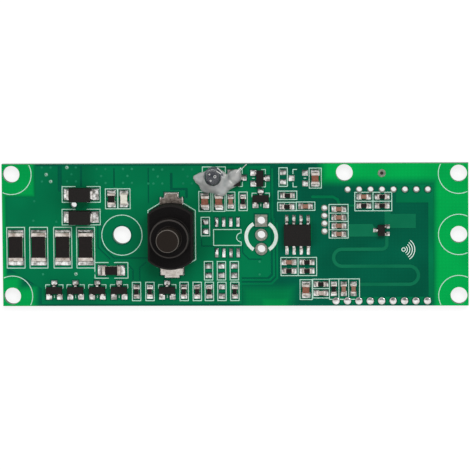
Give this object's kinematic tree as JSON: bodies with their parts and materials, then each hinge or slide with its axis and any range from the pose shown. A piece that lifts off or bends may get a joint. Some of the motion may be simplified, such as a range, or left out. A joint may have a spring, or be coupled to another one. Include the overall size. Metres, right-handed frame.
{
  "type": "microwave radar sensor module",
  "caption": "Long narrow circuit board with a printed microwave aerial, chip components, a light sensor under glue and a push switch; fixed through round holes.",
  "frame": {"origin": "middle of the board's underside", "axes": "+X along the board to the aerial end, +Y to the long edge with the header holes behind the aerial, +Z out of the component side"},
  "size_m": [0.083, 0.0254, 0.0126],
  "materials": {
    "laminate": "glass-cloth laminate under a glossy green solder mask",
    "masked_copper_back": "copper sheet under green solder mask",
    "masked_copper": "copper foil under green solder mask",
    "masked_strip": "copper microstrip under green solder mask",
    "tinned_copper": "tinned copper, bright",
    "plugged_mask": "vias plugged with solder mask",
    "legend_ink": "white legend ink",
    "solder": "bright solder",
    "alumina": "white alumina",
    "resistor_glaze": "dark glass coat of a chip resistor",
    "tin_plate": "tin plate, satin",
    "capacitor_ceramic": "brown capacitor ceramic, satin",
    "pale_ceramic": "pale ceramic, satin",
    "led_base": "pale laminate of the status light",
    "led_lens": "milky clear resin",
    "moulding_compound": "black moulding compound, fine matt",
    "lead_metal": "tinned leads, satin",
    "clear_epoxy": "water-clear resin, glossy",
    "sensor_silicon": "dark blue silicon chip",
    "hot_glue": "milky hot-melt glue, glossy",
    "switch_plastic": "black moulded thermoplastic",
    "plunger_plastic": "black-brown moulded thermoplastic",
    "spring_steel": "bright spring wire",
    "contact_brass": "bright contact brass",
    "terminal_metal": "tinned brass sheet"
  },
  "bodies": {
    "board": {"bare_board": "laminate", "ground_plane": "masked_copper_back", "front_copper": "masked_copper", "aerial_strip": "masked_strip", "solder_pads": "tinned_copper", "wire_pads": "tinned_copper", "hole_liners": "tinned_copper", "plugged_vias": "plugged_mask", "open_vias": "tinned_copper", "printed_legend": "legend_ink", "chip_solder": "solder", "hole_solder": "solder", "tab_solder": "solder", "power_resistor_cores": "alumina", "power_resistor_coats": "resistor_glaze", "power_resistor_ends": "tin_plate", "medium_resistor_cores": "alumina", "medium_resistor_coats": "resistor_glaze", "medium_resistor_ends": "tin_plate", "small_resistor_cores": "alumina", "small_resistor_coats": "resistor_glaze", "small_resistor_ends": "tin_plate", "large_capacitor_bodies": "capacitor_ceramic", "large_capacitor_ends": "tin_plate", "small_capacitor_bodies": "capacitor_ceramic", "small_capacitor_ends": "tin_plate", "pale_chip_body": "pale_ceramic", "pale_chip_ends": "tin_plate", "status_led_base": "led_base", "status_led_lens": "led_lens", "status_led_ends": "tin_plate", "diode_bodies": "moulding_compound", "diode_leads": "lead_metal", "transistor_bodies": "moulding_compound", "transistor_leads": "lead_metal", "radar_transistor_body": "moulding_compound", "radar_transistor_leads": "lead_metal", "controller_body": "moulding_compound", "controller_leads": "lead_metal", "light_sensor_lens": "clear_epoxy", "light_sensor_frame": "lead_metal", "light_sensor_chip": "sensor_silicon", "glue_drop": "hot_glue", "switch_base": "switch_plastic", "switch_cover": "switch_plastic", "switch_spring": "spring_steel", "switch_bridge": "contact_brass", "switch_terminals": "terminal_metal"},
    "plunger": {"switch_plunger": "plunger_plastic"}
  },
  "joints": [
    {"name": "switch_press", "type": "slide", "parent": "board", "child": "plunger", "axis": [0, 0, -1], "range_m": [0, 0.0015], "stiffness_N_per_m": 900, "springref_m": -0.001, "deforming": ["switch_spring"]}
  ]
}
